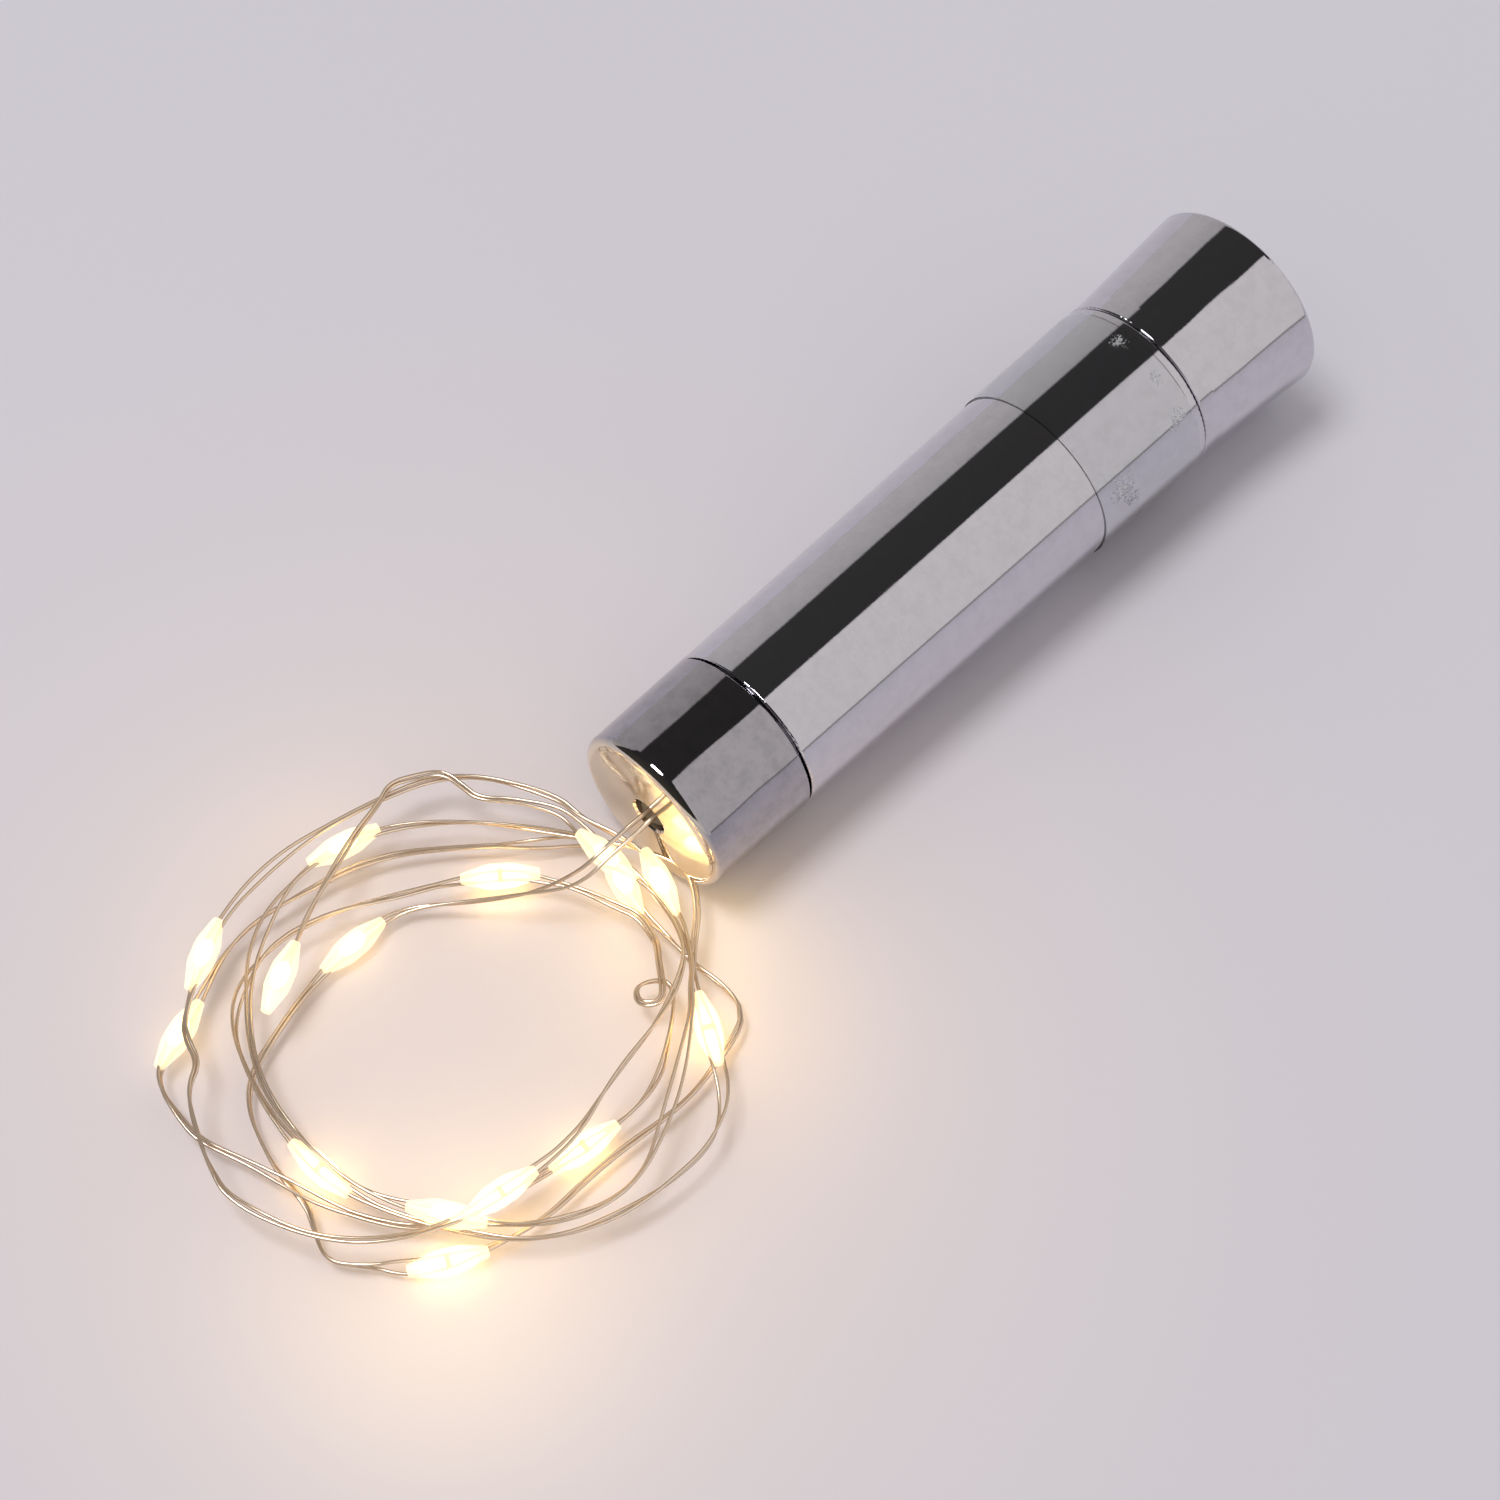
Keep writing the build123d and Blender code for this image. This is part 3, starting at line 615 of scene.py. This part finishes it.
def read_route():
    """Points along the smooth line of the wire."""
    points = route_points()
    curve = bpy.data.curves.new("wire_route", "CURVE")
    curve.dimensions = "3D"
    curve.resolution_u = ROUTE_STEPS
    spline = curve.splines.new("NURBS")
    spline.points.add(len(points) - 1)
    for knot, point in zip(spline.points, points):
        knot.co = (*point, 1)
    spline.order_u = 3
    spline.use_endpoint_u = True
    carrier = bpy.data.objects.new("wire_route", curve)
    mesh = bpy.data.meshes.new_from_object(carrier)
    path = [vertex.co.copy() for vertex in mesh.vertices]
    bpy.data.objects.remove(carrier)
    bpy.data.curves.remove(curve)
    bpy.data.meshes.remove(mesh)
    return path


def run_at(path, index):
    """Direction of the wire at a point of its path."""
    return (path[min(index + 1, len(path) - 1)] - path[max(index - 1, 0)]).normalized()


def strand_tube(points, radius):
    """Mesh of one round strand, with its sleeve at the hole."""
    curve = bpy.data.curves.new("strand", "CURVE")
    curve.dimensions = "3D"
    curve.bevel_depth = radius
    curve.bevel_resolution = STRAND_ROUND
    curve.use_fill_caps = True
    spline = curve.splines.new("POLY")
    spline.points.add(len(points) - 1)
    gone = 0.0
    before = points[0]
    for knot, point in zip(spline.points, points):
        gone += (point - before).length
        before = point
        knot.co = (*point, 1)
        knot.radius = 1 + HOLE_SLEEVE * max(0, 1 - gone / (HOLE_SPREAD_RUN * MM))
    carrier = bpy.data.objects.new("strand", curve)
    mesh = bpy.data.meshes.new_from_object(carrier)
    bpy.data.objects.remove(carrier)
    bpy.data.curves.remove(curve)
    return mesh


class BOTTLE_LIGHT_OT_twin_wire(Operator):
    """The twin wire: two lacquered strands that wind slowly about each other"""

    bl_idname = "bottle_light.twin_wire"
    bl_label = "Twin wire"

    def execute(self, context):
        settings = context.scene.bottle_string
        wire_paint, nodes, links, shader = new_material("lacquered_wire")
        # towards its sides the wire turns to a darker colour: painted shade
        facing = nodes.new("ShaderNodeLayerWeight")
        facing.inputs["Blend"].default_value = WIRE_BLEND
        lacquer_and_edge_shade = nodes.new("ShaderNodeMix")
        lacquer_and_edge_shade.data_type = "RGBA"
        lacquer_and_edge_shade.inputs["A"].default_value = (*settings.wire_colour, 1)
        lacquer_and_edge_shade.inputs["B"].default_value = (*settings.wire_edge_shade, 1)
        links.new(facing.outputs["Facing"], lacquer_and_edge_shade.inputs["Factor"])
        links.new(lacquer_and_edge_shade.outputs["Result"], shader.inputs["Base Color"])
        shader.inputs["Metallic"].default_value = WIRE_METALLIC
        dull = add_range(nodes, links, add_marks(nodes, WIRE_MARKS), *WIRE_ROUGHNESS)
        links.new(dull, shader.inputs["Roughness"])
        path = read_route()
        places = light_places(path)
        shape = bmesh.new()
        for side in strand_sides(path, places, settings.pair):
            tube = strand_tube(side, settings.strand / 2)
            shape.from_mesh(tube)
            bpy.data.meshes.remove(tube)
        mesh = bpy.data.meshes.new("twin_wire")
        shape.to_mesh(mesh)
        shape.free()
        mesh.shade_smooth()
        wire = new_piece("twin_wire", mesh, "case", ("wire_lead", "wire_coil"), [wire_paint])
        drops = light_drops(settings, path, places)
        return {"FINISHED"}


def light_places(path):
    """Points of the path at which the lights sit."""
    turns = []
    for point in path:
        angle = atan2(point.y - coil_centre.y * MM, point.x - coil_centre.x * MM) / tau
        if turns:
            angle += round(turns[-1] - angle)
        turns.append(angle)
    places = [next(i for i, turn in enumerate(turns) if turn >= wanted) for wanted in BEAD_TURNS]
    rest = 0.0
    tail = len(path) - 1
    while rest < TAIL_REST * MM:
        rest += (path[tail] - path[tail - 1]).length
        tail -= 1
    places.append(tail)
    return places


def strand_sides(path, places, pair):
    """Lines of the two strands: they wind slowly about each other and spread at the hole and the lights."""
    travelled = [0.0]
    for before, after in zip(path, path[1:]):
        travelled.append(travelled[-1] + (after - before).length / MM)
    stops = [travelled[place] for place in places]
    sides = [[], []]
    for index, point in enumerate(path):
        run = run_at(path, index)
        aside = run.cross(Vector((0, 0, 1))).normalized()
        upward = aside.cross(run)
        gone = travelled[index]
        near_light = max(0, 1 - min(abs(gone - stop) for stop in stops) / LIGHT_SPREAD_RUN)
        near_hole = max(0, 1 - gone / HOLE_SPREAD_RUN)
        wind = sum(size * sin(gone / run_length + start) for size, run_length, start in WINDING)
        wind *= (1 - near_light) * (1 - near_hole)
        loose = sum(sin(gone / run_length) for run_length in LOOSE_RUNS) - LOOSE_FROM
        spread = 1 + LIGHT_SPREAD * near_light + HOLE_SPREAD * near_hole + LOOSE_SPREAD * max(0, loose)
        shift = (aside * cos(wind) + upward * sin(wind)) * (pair / 2 * spread)
        sides[0].append(point + shift)
        sides[1].append(point - shift)
    return sides


def drop_mesh(name, matrix, length, diameter, down):
    """Blunt spindle of clear epoxy, with the lit core and the chip across the strands cast in it."""
    shape = bmesh.new()
    bmesh.ops.create_uvsphere(shape, u_segments=DROP_SIDES, v_segments=DROP_RINGS, radius=1.0)
    for vertex in shape.verts:
        side = Vector((vertex.co.x, vertex.co.y)).normalized()
        side *= (1 - DROP_TAPER * max(0, abs(vertex.co.z) - DROP_BODY) / (1 - DROP_BODY)) * diameter / 2
        vertex.co = (vertex.co.z * length / 2, side.x, side.y)
    ball = bmesh.ops.create_uvsphere(shape, u_segments=CORE_SIDES, v_segments=CORE_RINGS, radius=1.0)
    core = ball["verts"]
    reach = CORE_DOWN if down else CORE_UP
    shift = -CORE_SHIFT if down else CORE_SHIFT
    for vertex in core:
        vertex.co = (
            vertex.co.z * length * reach,
            vertex.co.x * diameter * CORE_WIDTH,
            (vertex.co.y * CORE_HEIGHT + shift) * diameter,
        )
    for face in {face for vertex in core for face in vertex.link_faces}:
        face.material_index = CORE_MATERIAL
    chip = bmesh.ops.create_cube(shape, size=1.0)["verts"]
    bmesh.ops.scale(shape, vec=Vector(CHIP_SIZE) * MM, verts=chip)
    bmesh.ops.translate(shape, vec=(0, 0, CHIP_SHIFT * MM if down else -CHIP_SHIFT * MM), verts=chip)
    for face in {face for vertex in chip for face in vertex.link_faces}:
        face.material_index = CHIP_MATERIAL
    edges = {edge for vertex in chip for edge in vertex.link_edges}
    bmesh.ops.bevel(
        shape, geom=list(edges), offset=CHIP_BREAK * MM, segments=2, profile=0.5, affect="EDGES",
        material=-1,
    )
    bmesh.ops.recalc_face_normals(shape, faces=shape.faces)
    bmesh.ops.transform(shape, matrix=matrix, verts=shape.verts)
    mesh = bpy.data.meshes.new(name)
    shape.to_mesh(mesh)
    shape.free()
    mesh.shade_smooth()
    return mesh


def light_drops(settings, path, places):
    """The lights on the wire: drops with their chip and lit core."""
    epoxy, _, _, shader = new_material("lit_epoxy")
    shader.inputs["Base Color"].default_value = (*EPOXY_COLOUR, 1)
    shader.inputs["Roughness"].default_value = EPOXY_ROUGHNESS
    shader.inputs["Alpha"].default_value = EPOXY_ALPHA
    shader.inputs["Emission Color"].default_value = (*EPOXY_GLOW, 1)
    shader.inputs["Emission Strength"].default_value = EPOXY_STRENGTH
    cores = []
    for name, strength in (("core_lit_up", settings.glow_up), ("core_lit_down", settings.glow_down)):
        lit, _, _, shader = new_material(name)
        shader.inputs["Base Color"].default_value = (*CORE_COLOUR, 1)
        shader.inputs["Emission Color"].default_value = (*settings.glow_colour, 1)
        shader.inputs["Emission Strength"].default_value = strength
        cores.append(lit)
    chip_paint, _, _, shader = new_material("chip_case")
    shader.inputs["Base Color"].default_value = (*CHIP_COLOUR, 1)
    shader.inputs["Roughness"].default_value = CHIP_ROUGHNESS
    drops = []
    for number, place in enumerate(places, start=1):
        run = run_at(path, place)
        aside = run.cross(Vector((0, 0, 1))).normalized()
        upward = aside.cross(run)
        matrix = Matrix((run, -aside, upward)).transposed().to_4x4()
        matrix.translation = path[place]
        down = number in CHIP_DOWN
        label = f"light_drop_{number:02d}"
        mesh = drop_mesh(label, matrix, settings.bead_length, settings.bead_diameter, down)
        solids = (f"led_bead_{number:02d}", f"led_chip_{number:02d}")
        drops.append(new_piece(label, mesh, "case", solids, [epoxy, cores[down], chip_paint]))
    return drops


class BOTTLE_LIGHT_OT_stage(Operator):
    """Pale floor, soft studio light and the camera"""

    bl_idname = "bottle_light.stage"
    bl_label = "Stage"

    def execute(self, context):
        settings = context.scene.bottle_stage
        scene = context.scene
        scene.view_settings.view_transform = "Standard"
        self.lay_floor(scene, settings)
        self.light_room(scene, settings)
        self.hang_lamps(scene, settings)
        self.place_camera(scene, settings)
        return {"FINISHED"}

    def lay_floor(self, scene, settings):
        """Large pale floor."""
        shape = bmesh.new()
        bmesh.ops.create_grid(shape, x_segments=1, y_segments=1, size=FLOOR_SIZE)
        mesh = bpy.data.meshes.new("floor")
        shape.to_mesh(mesh)
        shape.free()
        floor = bpy.data.objects.new("floor", mesh)
        scene.collection.objects.link(floor)
        paint, _, _, shader = new_material("pale_floor")
        shader.inputs["Base Color"].default_value = (*settings.floor_colour, 1)
        shader.inputs["Roughness"].default_value = FLOOR_ROUGHNESS
        shader.inputs["Specular IOR Level"].default_value = FLOOR_SHINE
        mesh.materials.append(paint)

    def light_room(self, scene, settings):
        """Even room light; in reflections, a pale near side, a dark ceiling and a grey far side."""
        world = bpy.data.worlds.new("studio")
        scene.world = world
        world.use_nodes = True
        nodes, links = world.node_tree.nodes, world.node_tree.links
        back = nodes["Background"]
        place = nodes.new("ShaderNodeTexCoord")
        parts = nodes.new("ShaderNodeSeparateXYZ")
        angle = nodes.new("ShaderNodeMath")
        angle.operation = "ARCTAN2"
        share = nodes.new("ShaderNodeMapRange")
        share.inputs["From Min"].default_value = -pi
        share.inputs["From Max"].default_value = pi
        cards = nodes.new("ShaderNodeValToRGB")
        ramp = cards.color_ramp
        while len(ramp.elements) < len(CARDS):
            ramp.elements.new(0.5)
        for element, (degrees, level) in zip(ramp.elements, CARDS):
            element.position = (degrees + 180) / 360
            element.color = (*(level * part for part in CARD_TINT), 1)
        path = nodes.new("ShaderNodeLightPath")
        mix = nodes.new("ShaderNodeMix")
        mix.data_type = "RGBA"
        mix.inputs["A"].default_value = (*(settings.fill * part for part in FILL_TINT), 1)
        links.new(place.outputs["Generated"], parts.inputs["Vector"])
        links.new(parts.outputs["Y"], angle.inputs[0])
        links.new(parts.outputs["Z"], angle.inputs[1])
        # towards the wire's end the dark sector widens, so that it flares along the rims
        widen = nodes.new("ShaderNodeMapRange")
        widen.inputs["From Min"].default_value = FLARE_FROM
        widen.inputs["From Max"].default_value = FLARE_TO
        widen.inputs["To Min"].default_value = FLARE_SHRINK
        from_middle = nodes.new("ShaderNodeMath")
        from_middle.operation = "SUBTRACT"
        from_middle.inputs[1].default_value = DARK_MIDDLE
        narrowed = nodes.new("ShaderNodeMath")
        narrowed.operation = "MULTIPLY_ADD"
        narrowed.inputs[2].default_value = DARK_MIDDLE
        links.new(parts.outputs["X"], widen.inputs["Value"])
        links.new(angle.outputs["Value"], from_middle.inputs[0])
        links.new(from_middle.outputs["Value"], narrowed.inputs[0])
        links.new(widen.outputs["Result"], narrowed.inputs[1])
        links.new(narrowed.outputs["Value"], share.inputs["Value"])
        links.new(share.outputs["Result"], cards.inputs["Fac"])
        links.new(path.outputs["Is Glossy Ray"], mix.inputs["Factor"])
        links.new(cards.outputs["Color"], mix.inputs["B"])
        links.new(mix.outputs["Result"], back.inputs["Color"])

    def hang_lamps(self, scene, settings):
        """Large soft lamp overhead, and the warm haze of the string over the loose turns; all look down."""
        lamps = [("key_light", Vector(KEY_PLACE), KEY_SIZE, settings.key_power, (1, 1, 1))]
        for name, offset, size, part, colour in HAZES:
            lamps.append((name, (coil_centre + Vector(offset)) * MM, size, settings.warmth * part, colour))
        for name, place, size, power, colour in lamps:
            lamp = bpy.data.lights.new(name, "AREA")
            lamp.shape = "DISK"
            lamp.size = size
            lamp.energy = power
            lamp.color = colour
            hung = bpy.data.objects.new(name, lamp)
            scene.collection.objects.link(hung)
            hung.location = place
            hung.visible_glossy = lamp.name == "key_light"
            hung.visible_camera = False

    def place_camera(self, scene, settings):
        """Camera at the photograph's angle."""
        data = bpy.data.cameras.new("camera")
        data.lens = settings.lens
        data.sensor_width = SENSOR_WIDTH
        data.clip_start = NEAREST_SEEN
        camera = bpy.data.objects.new("camera", data)
        scene.collection.objects.link(camera)
        camera.location = settings.camera_place
        aim = Vector(settings.camera_target) - Vector(settings.camera_place)
        camera.rotation_euler = aim.to_track_quat("-Z", "Y").to_euler()
        scene.camera = camera


class BOTTLE_LIGHT_PT_panel(Panel):
    """Steps of the bottle light"""

    bl_idname = "BOTTLE_LIGHT_PT_panel"
    bl_label = "Bottle light"
    bl_space_type = "VIEW_3D"
    bl_region_type = "UI"
    bl_category = "Bottle light"

    def draw(self, context):
        for step in STEPS:
            self.layout.operator(step.bl_idname)


STEPS = (
    BOTTLE_LIGHT_OT_chrome_case,
    BOTTLE_LIGHT_OT_label_film,
    BOTTLE_LIGHT_OT_inner_works,
    BOTTLE_LIGHT_OT_twin_wire,
    BOTTLE_LIGHT_OT_stage,
)
SETTINGS = (
    ("bottle_case", CaseSettings),
    ("bottle_string", StringSettings),
    ("bottle_stage", StageSettings),
)


def register():
    """Add the settings, steps and panel."""
    for name, group in SETTINGS:
        bpy.utils.register_class(group)
        setattr(bpy.types.Scene, name, PointerProperty(type=group))
    for step in STEPS:
        bpy.utils.register_class(step)
    bpy.utils.register_class(BOTTLE_LIGHT_PT_panel)


def unregister():
    """Take them out again."""
    bpy.utils.unregister_class(BOTTLE_LIGHT_PT_panel)
    for step in reversed(STEPS):
        bpy.utils.unregister_class(step)
    for name, group in reversed(SETTINGS):
        delattr(bpy.types.Scene, name)
        bpy.utils.unregister_class(group)


def main():
    """Run the steps in order."""
    register()
    bpy.ops.bottle_light.chrome_case()
    bpy.ops.bottle_light.label_film()
    bpy.ops.bottle_light.inner_works()
    bpy.ops.bottle_light.twin_wire()
    bpy.ops.bottle_light.stage()


if __name__ == "__main__":
    main()
